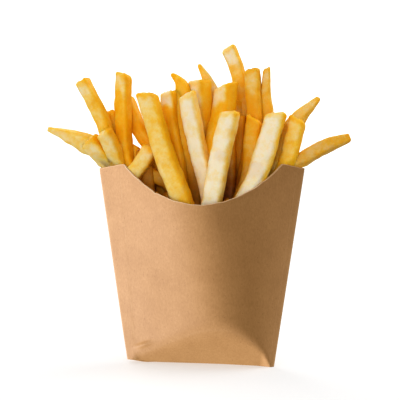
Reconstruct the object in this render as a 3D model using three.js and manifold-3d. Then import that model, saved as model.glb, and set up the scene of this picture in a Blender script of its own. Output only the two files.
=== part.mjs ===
// French fries standing in a folded kraft board carton.
// Millimetres, +Z up. The scooped front of the carton faces -Y, and the origin is on the table.

import * as THREE from 'three';
import Module from 'manifold-3d';

const wasm = await Module();
wasm.setup();

// ---------------------------------------------------------------- the carton

// Two bowed boards meet in a straight crease on each side.
const EAR_HEIGHT = 94;            // upper end of the side creases
const MOUTH_HALF_WIDTH = 50;      // crease to middle, at the upper end
const BASE_HALF_WIDTH = 35.5;     // crease to middle, on the table
const BOARD = 0.6;                // thickness of the board
const CREASE_INSET = 1.2;         // inner corner of a crease behind the outer one

// bow: how far a board stands out from the line between the creases.
// ridge: place of its crown, as a share of the half width. soft: 0 is a fold, 1 is round.
const FRONT = {
  side: -1, bowTop: 23, bowBase: 12.5, ridgeTop: 0.06, ridgeBase: 0.22, softTop: 0.3, softBase: 1.2,
};
const BACK = {
  side: 1, bowTop: 21, bowBase: 24, ridgeTop: 0, ridgeBase: 0, softTop: 0.5, softBase: 1.2,
};

// The front board folds inwards below an arched crease, down to the straight bottom edge.
// The back board folds flat under it along its own arch, and that fold is the base.
const EDGE_FORWARD = 8;           // the bottom edge stands this far in front of the mouth's middle
const EDGE_TWIST = 0.07;          // and its right end comes forward by this much for each mm of width
const FACET_LEAN = 0.68;          // the folded facet comes forward by this much for each mm of height
const CORNER_LIFT = 1.3;          // the left corner curls up off the table
const LIFT_START = 0.6;           // where that curl starts, as a share of the half width
const LIFT_FADE = 15;             // and the height at which it has died away

// The rim has an ear at each crease, a round scoop in front and a low arch behind.
const LEFT_EAR = 13.2;
const RIGHT_EAR = 10.8;
const EAR_RISE = 2;
const SCOOP_DEPTH = 18.8;
const BACK_ARCH = 8;

const EAR_COLUMNS = 3;
const SCOOP_COLUMNS = 20;
const BACK_COLUMNS = 22;
const FACET_ROWS = 2;
const PANEL_ROWS = 6;
const BASE_CENTRE_Y = 3;
const BASE_RING = 0.8;            // the ring inside the base outline, from which on it is flat
const FOLD_LIMIT = 40;            // the arched crease lies lower than this everywhere
const FOLD_HALVINGS = 24;         // steps of the search for its height

// ---------------------------------------------------------------- the fries

const EDGE_CUT = 0.22;            // cut corner of a stick's section, as a share of its side
const END_ROUND = 1.2;            // the last stretch of a cut end, which is a little smaller
const END_SHRINK = 0.8;
const POINT_SHRINK = 0.35;        // a tapered tip ends this small
const ROOT_HEIGHT = 66;           // the sticks end down here, inside the core
const ROOT_PULL = 0.62;           // how far they draw together on the way down
const UNEVEN = 0.05;              // random change of the section along a stick
const STICK_STEPS = [0, 0.34, 0.5, 0.64, 0.77, 0.88];
const STEP_GAP = 0.05;            // no step comes nearer than this share to the end rings

const CORE_TOP = 75;
const CORE_DOME = 5;              // the core's top falls by this much towards the board
const DOME_RING = 0.6;
const CORE_ROWS = 3;
const CLEARANCE = 0.3;            // between the fries and the board
const CREASE_CLEARANCE = 0.9;     // the same in the sharp corner of a side crease
const KEEP_OUT = 14;              // width of the space round the outside of the board without sticks
const KEEP_OUT_FLOOR = 45;        // that space starts here, below the roots of all sticks
const KEEP_OUT_DISC = 1;

// Each stick that stands out: its tip, a point half way, and the point where it enters the
// mouth; the side of its section; its roll in degrees, which turns a side face to the
// front; the length over which its tip tapers, or 0 for a blunt cut; and how steeply that cut
// rises to the right.
const stick = (tip, via, foot, side, roll, taper = 0, slant = 0) =>
  ({ tip, via, foot, side, roll, taper, slant });
const STICKS = [
  stick([-75, -2, 113], [-59.5, 0.5, 107], [-44, 2, 99], 7.8, 20, 22),
  stick([-54, -4, 107.5], [-50, -2.5, 101.5], [-43.5, 0.5, 91], 6.6, 26),
  stick([-57, -5.5, 136.5], [-47.5, -5, 118.5], [-39.5, -1.5, 94], 5.7, 20),
  stick([-45, 2.5, 122], [-43, 2.5, 113], [-40.5, 3, 99], 6.4, 10),
  stick([-37.5, -1, 140], [-38, -0.5, 121], [-36, 0, 97], 7.2, 24, 0, -0.3),
  stick([-33.5, 5.5, 104], [-34.5, 5.5, 99], [-35.5, 5, 93], 7.2, 10, 0, -0.3),
  stick([-37, 5, 128.5], [-29, 5, 112.5], [-22.5, 4.5, 103], 6.0, 20),
  stick([-25, -10, 129.5], [-18.5, -11.5, 107], [-7.5, -13, 77], 9.2, 15, 0, -0.3),
  stick([-23.5, -3.5, 103.5], [-28, -4.5, 96.5], [-34, -4.5, 86], 6.2, 25),
  stick([-29, 0.5, 93.5], [-22.5, 0, 90], [-15, 0, 85.5], 6.8, 0),
  stick([-15.5, -2, 131], [-14.5, -2, 117.5], [-11, -2, 100.5], 7.4, 22, 0, 0.1),
  stick([-12.5, 6, 131.5], [-10, 5, 113], [-2, 2, 79.5], 7.0, 10),
  stick([-14.5, 1, 140], [-10, 1, 135], [-7, 2, 121.5], 6.8, 15, 10),
  stick([-6, -6.5, 129.5], [-1, -6, 104], [5, -4, 79], 8.2, 18, 0, 0.3),
  stick([-1, 3, 137], [0, 4, 122], [3, 6, 102], 9.4, 42),
  stick([-2, 10, 145.5], [3, 12, 136], [5.5, 12, 122], 7.2, 10, 16),
  stick([14.5, -11, 120.5], [10.5, -12.5, 102.5], [6.5, -15, 78.5], 8.7, 14, 0, 0.25),
  stick([12, 3, 134.5], [10, 2, 121.5], [6, -2.5, 102], 10.0, 42, 0, 0.45),
  stick([12.5, 13, 154], [17.5, 13.5, 140], [21, 13.5, 119], 6.7, 10, 0, 0.2),
  stick([24.5, 7, 142.5], [25, 7, 131.5], [25.5, 7, 115], 7.6, 12, 0, 0.15),
  stick([31.7, 8.5, 143.5], [31.5, 8.5, 131.5], [32.3, 8.5, 114], 5.7, 10, 20, 0.5),
  stick([26, 3, 118], [24.5, 2.5, 107.5], [22, 0.5, 89.5], 7.9, 10, 0, -0.45),
  stick([37.5, -4, 119.5], [31.5, -7.5, 101.5], [23.5, -10, 82.5], 9.0, -14, 0, 0.4),
  stick([55.5, 8.5, 128.5], [45, 5.5, 115.5], [38.5, 3, 95], 8.6, 22, 22),
  stick([71.5, 8.5, 109], [57, 7.5, 103], [43.5, 7, 93.5], 6.6, 15, 9),
  stick([18.5, 9, 131], [18, 9, 114], [16.5, 8.5, 92], 6.8, 10),
];

// Sticks that only fill the mouth: place in the mouth and height of the tip.
const BACK_FILLERS = [
  [-22, 10, 115], [-15, 12.5, 119], [-8, 15, 114], [-1, 16, 120], [6.5, 16.5, 117], [12, 5, 122],
  [-4, 9, 118], [29.5, 6, 120], [33, 10, 115], [-17.5, 5.5, 121], [-24, -1, 104],
];
const LOW_FILLERS = [[-20, -9.5, 81], [-14, -6, 84], [14, -9, 78], [16.5, -4, 84], [31, -3, 88]];
const MOUTH_LEVEL = 76;
const FILLER_SIDE = 7.2;
const FILLER_FAN = 0.15;          // their tips stand this share further from the middle
const FILLER_STEPS = [0, 0.5, 0.77];
const FILLER_SPREAD = { x: 2, y: 1, z: 4, side: 0.8, roll: 40, slant: 0.3 };

// ---------------------------------------------------------------- meshes and solids

// Joins closed rings of equal length into one skin, shut by a point at either end.
// The rings run counterclockwise, seen against the direction in which they follow each other.
function loft(firstPole, rings, lastPole) {
  const count = rings[0].length;
  const points = [firstPole, ...rings.flat(), lastPole];
  const last = points.length - 1;
  const at = (ring, column) => 1 + ring * count + (column % count);
  const index = [];
  for (let column = 0; column < count; column++) {
    index.push(0, at(0, column + 1), at(0, column));
    for (let ring = 0; ring < rings.length - 1; ring++) {
      index.push(at(ring, column), at(ring, column + 1), at(ring + 1, column + 1));
      index.push(at(ring, column), at(ring + 1, column + 1), at(ring + 1, column));
    }
    index.push(at(rings.length - 1, column), at(rings.length - 1, column + 1), last);
  }
  const geometry = new THREE.BufferGeometry().setFromPoints(points);
  geometry.setIndex(index);
  return geometry;
}

function solidOf(geometry) {
  const mesh = new wasm.Mesh({
    numProp: 3,
    vertProperties: new Float32Array(geometry.attributes.position.array),
    triVerts: new Uint32Array(geometry.index.array),
  });
  return new wasm.Manifold(mesh);
}

// The outermost skin of a solid, as a geometry. Hollows that the sticks seal between them
// are filled and loose scraps are dropped, because only the largest shell is kept.
function outerSkin(solid) {
  const { vertProperties, triVerts } = solid.getMesh();
  const parent = Uint32Array.from({ length: vertProperties.length / 3 }, (_, i) => i);
  const find = (i) => {
    while (parent[i] !== i) i = parent[i] = parent[parent[i]];
    return i;
  };
  for (let t = 0; t < triVerts.length; t += 3) {
    parent[find(triVerts[t + 1])] = find(triVerts[t]);
    parent[find(triVerts[t + 2])] = find(triVerts[t]);
  }
  const sizes = new Map();
  for (const vertex of triVerts) sizes.set(find(vertex), (sizes.get(find(vertex)) ?? 0) + 1);
  const largest = [...sizes].sort((a, b) => b[1] - a[1])[0][0];
  const geometry = new THREE.BufferGeometry();
  geometry.setAttribute('position', new THREE.BufferAttribute(vertProperties, 3));
  geometry.setIndex([...triVerts].filter((vertex) => find(vertex) === largest));
  return geometry;
}

function seededRandom(seed) {
  return () => {
    seed = (seed + 0x6d2b79f5) | 0;
    let mixed = Math.imul(seed ^ (seed >>> 15), 1 | seed);
    mixed = (mixed + Math.imul(mixed ^ (mixed >>> 7), 61 | mixed)) ^ mixed;
    return ((mixed ^ (mixed >>> 14)) >>> 0) / 4294967296;
  };
}

// ---------------------------------------------------------------- the form of the boards

const { lerp, smoothstep } = THREE.MathUtils;

// A point of a board at height z. s runs from -1 at the left crease to 1 at the right one,
// and inset moves the surface inwards, at the creases and at the crown.
function boardPoint(board, s, z, inset) {
  const low = 1 - z / EAR_HEIGHT;
  const x = s * (lerp(MOUTH_HALF_WIDTH, BASE_HALF_WIDTH, low) - inset.crease);
  const ridge = lerp(board.ridgeTop, board.ridgeBase, low);
  const soft = lerp(board.softTop, board.softBase, low);
  const fromRidge = (s - ridge) / (1 - ridge * s);
  const tent = (Math.hypot(1, soft) - Math.hypot(fromRidge, soft)) / (Math.hypot(1, soft) - soft);
  const bow = (lerp(board.bowTop, board.bowBase, low) - inset.wall) * tent;
  const chord = -low * (EDGE_FORWARD + EDGE_TWIST * x);
  return new THREE.Vector3(x, chord + board.side * bow, z);
}

// How far the front board stands in front of the folded facet's plane at height z.
function beyondFacet(s, z, inset) {
  const { x, y } = boardPoint(FRONT, s, z, inset);
  return -EDGE_FORWARD - EDGE_TWIST * x - FACET_LEAN * z + inset.wall - y;
}

// Height of the arched crease: there the front board and the facet meet.
function foldHeight(s, inset) {
  let low = 0;
  let high = FOLD_LIMIT;
  for (let step = 0; step < FOLD_HALVINGS; step++) {
    const middle = (low + high) / 2;
    if (beyondFacet(s, middle, inset) > 0) low = middle;
    else high = middle;
  }
  return low;
}

function rimHeight(board, s) {
  const scoopLeft = -1 + LEFT_EAR / MOUTH_HALF_WIDTH;
  const scoopRight = 1 - RIGHT_EAR / MOUTH_HALF_WIDTH;
  if (board === BACK) return EAR_HEIGHT + BACK_ARCH * (1 - s * s);
  if (s <= scoopLeft) return EAR_HEIGHT + EAR_RISE * (s + 1) / (scoopLeft + 1);
  if (s >= scoopRight) return EAR_HEIGHT + EAR_RISE * (1 - s) / (1 - scoopRight);
  const halfChord = MOUTH_HALF_WIDTH * (scoopRight - scoopLeft) / 2;
  const radius = (halfChord ** 2 + SCOOP_DEPTH ** 2) / (2 * SCOOP_DEPTH);
  const across = MOUTH_HALF_WIDTH * (s - (scoopLeft + scoopRight) / 2);
  return EAR_HEIGHT + EAR_RISE - SCOOP_DEPTH + radius - Math.sqrt(radius ** 2 - across ** 2);
}

// The columns that run up the boards: over the front from left to right, then back behind.
function boardColumns() {
  const scoopLeft = -1 + LEFT_EAR / MOUTH_HALF_WIDTH;
  const scoopRight = 1 - RIGHT_EAR / MOUTH_HALF_WIDTH;
  const columns = [];
  const add = (board, from, to, steps) => {
    for (let step = 0; step < steps; step++) columns.push({ board, s: lerp(from, to, step / steps) });
  };
  add(FRONT, -1, scoopLeft, EAR_COLUMNS);
  add(FRONT, scoopLeft, scoopRight, SCOOP_COLUMNS);
  add(FRONT, scoopRight, 1, EAR_COLUMNS);
  add(BACK, 1, -1, BACK_COLUMNS);
  return columns;
}

// Height at which the folded facet ends and the board itself begins.
function boardFoot(board, s, inset) {
  return Math.max(board === FRONT ? foldHeight(s, inset) : 0, inset.floor);
}

// One ring round both boards. The first rows climb from the bottom edge to the arched crease,
// over the folded facet, and the others from there to the rim.
function boardRing(row, inset) {
  return boardColumns().map(({ board, s }) => {
    const foot = boardFoot(board, s, inset);
    const z = row < FACET_ROWS
      ? lerp(inset.floor, foot, row / FACET_ROWS)
      : lerp(foot, rimHeight(board, s), (row - FACET_ROWS) / PANEL_ROWS);
    const point = boardPoint(board, s, z, inset);
    if (board === FRONT && row < FACET_ROWS) {
      point.y = -EDGE_FORWARD - EDGE_TWIST * point.x - FACET_LEAN * z + inset.wall;
    }
    point.z += lift(board, s, z);
    return point;
  });
}

// The front edge rises evenly towards the left corner, and the back board only near it.
function lift(board, s, z) {
  const curl = board === FRONT ? (1 - s) / 2 : smoothstep(-s, LIFT_START, 1);
  return CORNER_LIFT * curl * Math.max(0, 1 - z / LIFT_FADE);
}

// The rings of one skin of the carton, from the flat of the base up to the rim.
function boardSkin(inset) {
  const rings = [];
  for (let row = 0; row <= FACET_ROWS + PANEL_ROWS; row++) rings.push(boardRing(row, inset));
  return [shrunk(rings[0], BASE_RING, inset.floor), ...rings];
}

// A ring drawn together round the middle of the base, and laid flat at height z.
function shrunk(ring, scale, z) {
  return ring.map(({ x, y }) =>
    new THREE.Vector3(x * scale, BASE_CENTRE_Y + (y - BASE_CENTRE_Y) * scale, z));
}

function cartonGeometry() {
  const outside = boardSkin({ crease: 0, wall: 0, floor: 0 });
  const inside = boardSkin({ crease: CREASE_INSET, wall: BOARD, floor: BOARD }).reverse();
  const below = new THREE.Vector3(0, BASE_CENTRE_Y, 0);
  const above = new THREE.Vector3(0, BASE_CENTRE_Y, BOARD);
  return loft(below, [...outside, ...inside], above);
}

// ---------------------------------------------------------------- the form of the fries

// The middle line of a stick, from its root in the core through foot and via to the tip.
function middleLine({ tip, via, foot }) {
  const points = [tip, via, foot].map((place) => new THREE.Vector3(...place));
  const below = new THREE.Vector3(foot[0] * ROOT_PULL, foot[1] * ROOT_PULL, ROOT_HEIGHT);
  return new THREE.CatmullRomCurve3([below, points[2], points[1], points[0]], false, 'centripetal');
}

// A square with cut corners, counterclockwise round the direction of the stick. At roll 0
// one side looks to the front.
function section(centre, direction, side, roll, slant) {
  const across = new THREE.Vector3().crossVectors(direction, new THREE.Vector3(0, -1, 0)).normalize();
  const behind = new THREE.Vector3().crossVectors(direction, across);
  const half = side / 2;
  const cut = half - side * EDGE_CUT;
  const outline = [
    [half, -cut], [half, cut], [cut, half], [-cut, half],
    [-half, cut], [-half, -cut], [-cut, -half], [cut, -half],
  ];
  const turn = -THREE.MathUtils.degToRad(roll);
  return outline.map(([u, v]) => {
    const right = u * Math.cos(turn) - v * Math.sin(turn);
    const back = u * Math.sin(turn) + v * Math.cos(turn);
    return centre.clone().addScaledVector(across, right).addScaledVector(behind, back)
      .addScaledVector(direction, right * slant);
  });
}

// One stick: uneven rings along its middle line, then a cut end or a tapered tip.
function stickGeometry(stick, random) {
  const line = middleLine(stick);
  const length = line.getLength();
  const endRings = stick.taper > 0
    ? [[stick.taper, 1], [stick.taper / 2, (1 + POINT_SHRINK) / 2], [0, POINT_SHRINK]]
    : [[END_ROUND, 1], [0, END_SHRINK]];
  const ends = endRings
    .map(([fromTip, scale]) => ({ share: 1 - fromTip / length, scale, slant: stick.slant }));
  const steps = (stick.steps ?? STICK_STEPS).filter((share) => share < ends[0].share - STEP_GAP)
    .map((share) => ({ share, scale: 1 + UNEVEN * (2 * random() - 1), slant: 0 }));
  const rings = [...steps, ...ends].map(({ share, scale, slant }) =>
    section(line.getPointAt(share), line.getTangentAt(share), stick.side * scale, stick.roll, slant));
  return loft(line.getPointAt(0), rings, line.getPointAt(1));
}

const CLEAR_OF_BOARD = {
  crease: CREASE_INSET + CREASE_CLEARANCE,
  wall: BOARD + CLEARANCE,
  floor: BOARD + CLEARANCE,
};

// The packed lower part of the fries, which fills the carton up to CORE_TOP.
function coreGeometry() {
  const flat = boardRing(0, CLEAR_OF_BOARD);
  const rings = [shrunk(flat, BASE_RING, CLEAR_OF_BOARD.floor), flat];
  for (let row = 0; row <= CORE_ROWS; row++) rings.push(coreRing(row / CORE_ROWS));
  rings.push(shrunk(rings[rings.length - 1], DOME_RING, CORE_TOP - CORE_DOME * DOME_RING ** 2));
  const below = new THREE.Vector3(0, BASE_CENTRE_Y, CLEAR_OF_BOARD.floor);
  return loft(below, rings, new THREE.Vector3(0, BASE_CENTRE_Y, CORE_TOP));
}

// A ring of the core along the boards, from the arched crease at 0 up to its shoulder at 1.
function coreRing(share) {
  return boardColumns().map(({ board, s }) => {
    const z = lerp(boardFoot(board, s, CLEAR_OF_BOARD), CORE_TOP - CORE_DOME, share);
    const point = boardPoint(board, s, z, CLEAR_OF_BOARD);
    point.z += lift(board, s, z);
    return point;
  });
}

// The boards with their clearance and the space round them, up to just above the rim.
function keepOutGeometry() {
  const ring = (inset, share) => boardColumns().map(({ board, s }) => {
    const top = rimHeight(board, s) + CLEAR_OF_BOARD.wall;
    return boardPoint(board, s, lerp(KEEP_OUT_FLOOR, top, share), inset);
  });
  const outside = { crease: -KEEP_OUT, wall: -KEEP_OUT };
  const upwards = [0, 0.5, 1].map((share) => ring(outside, share));
  const downwards = [1, 0.5, 0].map((share) => ring(CLEAR_OF_BOARD, share));
  const below = new THREE.Vector3(0, 0, KEEP_OUT_FLOOR - KEEP_OUT_DISC);
  return loft(below, [...upwards, ...downwards], new THREE.Vector3(0, 0, KEEP_OUT_FLOOR));
}

// The sticks that fill the mouth behind the others, and the low ones just inside the scoop.
function fillerSticks(random) {
  const around = (spread) => spread * (2 * random() - 1);
  return [...BACK_FILLERS, ...LOW_FILLERS].map(([x, y, height]) => ({
    tip: [
      x * (1 + FILLER_FAN) + around(FILLER_SPREAD.x),
      y + around(FILLER_SPREAD.y),
      height + around(FILLER_SPREAD.z),
    ],
    via: [x * (1 + FILLER_FAN / 2), y, (height + MOUTH_LEVEL) / 2],
    foot: [x, y, MOUTH_LEVEL],
    side: FILLER_SIDE + around(FILLER_SPREAD.side),
    roll: around(FILLER_SPREAD.roll),
    taper: 0,
    slant: around(FILLER_SPREAD.slant),
    steps: FILLER_STEPS,
  }));
}

function friesGeometry() {
  const random = seededRandom(7);
  const sticks = [...STICKS, ...fillerSticks(random)];
  const solids = sticks.map((stick) => solidOf(stickGeometry(stick, random)));
  const fries = solids.reduce((sum, solid) => sum.add(solid)).subtract(solidOf(keepOutGeometry()));
  return outerSkin(fries.add(solidOf(coreGeometry())));
}

// ---------------------------------------------------------------- the scene graph

const root = new THREE.Group();
const kraft = new THREE.MeshStandardMaterial({ color: 0xc79a66, roughness: 0.85, metalness: 0 });
const potato = new THREE.MeshStandardMaterial({ color: 0xf0c060, roughness: 0.6, metalness: 0 });
const parts = [['carton', cartonGeometry(), kraft], ['fries', friesGeometry(), potato]];
for (const [name, geometry, material] of parts) {
  const mesh = new THREE.Mesh(geometry, material);
  mesh.name = name;
  root.add(mesh);
}

export default root;
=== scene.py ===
"""French fries packed upright in a folded kraft board carton.

Shapes are worked out in millimetres, +Z up, with the scooped front board facing -Y, and go into
Blender in metres. Every skin is a stack of closed rings, computed as whole arrays.
"""
import math
from collections import namedtuple

import bpy
import numpy as np
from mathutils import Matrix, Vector


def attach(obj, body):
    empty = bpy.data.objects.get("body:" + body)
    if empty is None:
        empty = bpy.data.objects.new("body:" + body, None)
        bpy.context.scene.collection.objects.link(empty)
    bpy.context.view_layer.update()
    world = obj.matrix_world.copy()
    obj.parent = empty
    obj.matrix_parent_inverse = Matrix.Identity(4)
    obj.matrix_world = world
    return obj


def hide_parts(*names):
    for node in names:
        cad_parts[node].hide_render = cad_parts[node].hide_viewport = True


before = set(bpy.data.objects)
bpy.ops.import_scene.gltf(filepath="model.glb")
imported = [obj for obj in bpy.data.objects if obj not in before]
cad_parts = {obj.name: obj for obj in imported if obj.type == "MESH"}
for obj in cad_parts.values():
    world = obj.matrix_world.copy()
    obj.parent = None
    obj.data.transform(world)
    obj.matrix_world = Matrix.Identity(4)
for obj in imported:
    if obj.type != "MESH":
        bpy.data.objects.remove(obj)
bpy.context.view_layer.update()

MM = 0.001

# An uneven pattern: how much it adds, in mm or as a share, and its wavelength in mm.
Ripple = namedtuple("Ripple", "height wave")
RIPPLE_WAVES = 14
RIPPLE_SPREAD = (0.67, 1.5)   # the waves are this much shorter or longer
RIPPLE_SPAN = 1.6             # brings the sum of the waves to about -1 to 1

# ------------ sizes of the carton, in mm

EAR_HEIGHT = 94.0             # upper end of the side creases
MOUTH_HALF_WIDTH = 50.0
BASE_HALF_WIDTH = 35.5
BOARD = 0.5                   # thickness of the board
CREASE_INSET = 1.2            # inner corner of a side crease behind the outer one

# How a board bows between the creases, at the mouth and at the base: how far it stands out, where
# its ridge is as a share of the half width, and how soft that ridge is.
Board = namedtuple("Board", "side bow_top bow_base ridge_top ridge_base soft_top soft_base")
FRONT = Board(-1, 23.0, 12.5, 0.02, 0.32, 0.3, 1.5)
BACK = Board(1, 21.0, 24.0, 0.0, 0.0, 0.5, 1.2)

# The front board's bottom is folded in below an arched crease, down to a straight edge.
EDGE_FORWARD = 8.0
EDGE_TWIST = 0.07
FACET_LEAN = 0.68
FOLD_ROUND = 3.6              # how far the arched crease is rounded
FOLD_LEAST = 0.0004           # keeps that rounding above nothing at the side creases
FOLD_END = 0.80               # it ends before the side creases, from this share of the half width
FOLD_CORNER = 2.0             # and there the board stands this far in front of the folded part
CORNER_LIFT = 1.3             # the left corner curls up off the table
LIFT_START = 0.6
LIFT_FADE = 15.0
BASE_CENTRE_Y = 3.0
BASE_SHARES = (0.08, 0.3, 0.55, 0.8, 0.93, 0.985)   # rings of the base, as shares of its size
BASE_FLAT = 0.8               # the base is flat up to this share

LEFT_EAR = 13.2
RIGHT_EAR = 10.8
EAR_RISE = 2.0
SCOOP_DEPTH = 18.8
BACK_ARCH = 8.0
RIM_RIPPLE = Ripple(0.12, 5.0)   # the cut of the rim wanders by this much
RIM_CROWN = 0.05              # the cut edge stands this much above its two corners
EDGE_SHARES = (0.25, 0.5, 0.75)
EDGE_ROW = 0.8                # the last rows stand this far and half as far below the rim
NICK_PLACE = -0.43            # a small nick in the scoop, as a share of the half width
NICK_DEPTH = 0.7
NICK_WIDTH = 0.012

WAVE = Ripple(0.3, 42.0)      # the board isn't quite true between its folds
WAVE_START = 2.0              # heights between which that sets in
WAVE_FULL = 16.0
RIM_SHIFT = 40.0              # the back board reads its patterns this far off, so that it differs
WAVE_SHIFT = 200.0            # from the front board

FLAP_BASE = -0.90             # the glued flap's edge shows through the front board along this line,
FLAP_TOP = -0.78              # as shares of the half width at the base and at the mouth
FLAP_CURVE = 0.5              # power of the height that the line follows between them
FLAP_STEP = 0.08
LINE_WIDTH = 0.008            # of that edge, as a share of the half width
SEAM_PLACE = 0.935            # a second, fainter line beside the right crease
SEAM_WIDTH = 0.006
BUCKLE_PLACE = (-27.5, 8.6)   # a small ridge pressed into the lower left corner, (x, z)
BUCKLE_TURN = math.radians(24)
BUCKLE_LENGTH = 4.6
BUCKLE_WIDTH = 1.2
BUCKLE_HEIGHT = 0.85

# How strongly folds and lines are rubbed paler, from 0 to 1. A side crease is rubbed fully.
FOLD_WEAR = 0.3
FOLD_WEAR_WIDTH = 0.9
CREASE_WEAR_WIDTH = 0.8
FLAP_WEAR = 0.42
SEAM_WEAR = 0.4

EAR_COLUMNS = 22
SCOOP_COLUMNS = 120
BACK_COLUMNS = 110
CROWDING = 0.75               # how much closer columns stand at the ends of a run
FOLD_ZONE = 26.0              # fine rows up to here, where the arched crease is
FOLD_ROWS = 60
WALL_ROWS = 56
CARTON_SEED = 3

# ------------ sizes of the fries, in mm

Fry = namedtuple("Fry", "tip via foot side roll taper slant pale brown point", defaults=[0.0, 0.22])

# tip, a point half way and the lowest point that is set, from which it runs down into the core; side
# of its section; roll in degrees, which turns a side face to the front; length of a tapered tip, or
# 0 for a blunt cut; rise of that cut to the right; and how pale it is, from 0 for deep gold to 1
# for cream: the front face at the tip and further down, then the right, the left and the back face.
# These tones are partly the fry's own and partly painted light and shade: faces turned from the light
# are set deeper gold. Where they are given, the next number says how dark the whole fry is, from 0 to
# 1, a crisper crust on some and painted shade on those deep in the heap; and point how wide a tapered
# tip still is at its end, as a share of the side.
FRIES_LEFT = [
    Fry((-75, -2.5, 113.3), (-59.5, -0.5, 107.7), (-42, 0, 97.5), 9.3, 20, 20, 0,
        (0.65, 0.55, 0.35, 0.5, 0.5)),
    Fry((-54.6, -4.5, 107.8), (-49.4, -3, 102), (-42, -0.6, 92), 8.7, 26, 0, 0,
        (0.7, 0.5, 0.1, 0.6, 0.5)),
    Fry((-57.4, -5.5, 136.5), (-48, -5, 118.5), (-40, -1.5, 94), 6.4, 20, 0, 0,
        (0.75, 0.35, 0.15, 0.6, 0.3)),
    Fry((-45, 2, 122), (-43, 2, 113), (-40, 1.5, 99), 6.4, 10, 0, 0,
        (0.15, 0.05, 0.1, 0.3, 0.6)),
    Fry((-37.5, -1, 140), (-38, -0.5, 121), (-36, 0, 97), 7.2, 24, 0, -0.3,
        (0.6, 0.1, 0.0, 0.5, 0.4)),
    Fry((-33.3, 4.5, 105.4), (-34.4, 4, 99.5), (-35.5, 3, 93), 7.2, 10, 0, -0.3,
        (0.0, 0.0, 0.0, 0.1, 0.5)),
    Fry((-37.2, 5, 128.5), (-30.7, 5, 112.5), (-25, 4.5, 103), 6.6, 20, 0, 0,
        (0.1, 0.1, 0.1, 0.05, 0.5)),
    Fry((-25, -10, 129.5), (-18.5, -11.5, 107), (-7.5, -13, 77), 9.2, 15, 0, -0.3,
        (0.5, 0.45, 0.1, 0.5, 0.4)),
    Fry((-23.5, -3.5, 104), (-28, -4.5, 96.8), (-34, -4.5, 86), 8.0, 6, 0, 0,
        (0.65, 0.5, 0.3, 0.5, 0.3)),
    Fry((-29, 0.5, 93.5), (-22.5, 0, 90), (-15, 0, 85.5), 6.8, 0, 0, 0,
        (0.2, 0.2, 0.1, 0.1, 0.3), 0.25),
    Fry((-46.2, -9, 112), (-42.6, -6.5, 104.3), (-39.4, -2.8, 94), 7.4, 16, 0, 0.2,
        (0.65, 0.6, 0.2, 0.4, 0.4)),
]
FRIES_MIDDLE = [
    Fry((-15.5, -2, 131), (-14.5, -2, 117.5), (-11, -2, 100.5), 7.4, 22, 0, 0.1,
        (1.0, 0.05, 0.05, 0.5, 0.6)),
    Fry((-12.5, 1.5, 131.5), (-10, 0, 113), (-2, 0, 79.5), 7.0, 10, 0, 0,
        (0.15, 0.12, 0.05, 0.1, 0.6)),
    Fry((-14.5, 1, 140), (-10, 1, 135), (-7, 2, 121.5), 7.4, 15, 10, 0,
        (0.1, 0.1, 0.05, 0.3, 0.2)),
    Fry((-6, -8, 129.5), (-1, -8.5, 104), (5, -7, 79), 8.2, 18, 0, 0.3,
        (1.0, 1.0, 0.55, 0.9, 0.5)),
    Fry((-1, 3, 137), (0, 4, 122), (3, 6, 102), 9.4, 42, 0, 0,
        (0.95, 0.75, 0.12, 0.7, 0.3)),
    Fry((-2, 10, 145.5), (3, 12, 136), (5.5, 12, 122), 7.2, 10, 16, 0,
        (0.4, 0.7, 0.7, 0.2, 0.5)),
    Fry((14.5, -11, 120.5), (10.5, -12.5, 102.5), (6.5, -15, 78.5), 9.1, 14, 0, 0.25,
        (0.9, 1.0, 0.5, 0.6, 0.4)),
    Fry((12.2, 3, 134.5), (10.8, 2, 121.5), (6.6, -2.5, 102), 10.0, 42, 0, 0.45,
        (0.95, 0.15, 0.0, 0.3, 0.5)),
]
FRIES_RIGHT = [
    Fry((12.5, 13, 154), (17.5, 13.5, 140), (22.3, 13.5, 109), 6.9, 10, 0, 0.2,
        (0.95, 0.3, 0.1, 0.5, 0.7)),
    Fry((24.5, 7, 142.5), (25, 7, 131.5), (25.5, 7, 115), 7.6, 12, 0, 0.15,
        (0.55, 0.05, 0.2, 0.3, 0.4), 0.12),
    Fry((31.6, 8, 143), (31.2, 8, 131.5), (32.2, 8, 114), 5.4, 10, 20, 0.6,
        (0.6, 0.25, 0.3, 0.3, 0.6), 0.13, 0.6),
    Fry((26, 1.5, 118), (24.7, 1, 107.5), (23, 1, 89.5), 7.9, 10, 0, -0.45,
        (0.2, 0.3, 0.1, 0.2, 0.4)),
    Fry((36.3, -4, 119.8), (31, -7.5, 101.5), (24, -10, 82.5), 9.8, 12, 0, 0.35,
        (0.95, 1.0, 0.3, 0.4, 0.5)),
    Fry((57, 6.5, 128.3), (45.1, 5, 115), (38.6, 2, 95), 9.3, 22, 20, 0,
        (0.6, 0.35, 0.3, 0.2, 0.4), 0.12),
    Fry((72, 6.5, 109), (58, 3.5, 103.6), (43, 0.3, 93), 7.0, 15, 10, 0,
        (0.3, 0.4, 0.3, 0.3, 0.4), 0.28, 0.55),
    Fry((18.3, 9.5, 120), (18, 9, 110), (16.5, 8.5, 92), 6.8, 10, 0, 0,
        (0.1, 0.05, 0.05, 0.05, 0.5), 0.22),
    Fry((46.6, -0.5, 117.8), (44.6, -1, 108.5), (40.5, -1, 95), 7.8, 16, 0, -0.3,
        (0.55, 0.3, 0.1, 0.3, 0.4)),
]
SEED_STEP = 1000              # between the random draws of one group and the next

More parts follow.
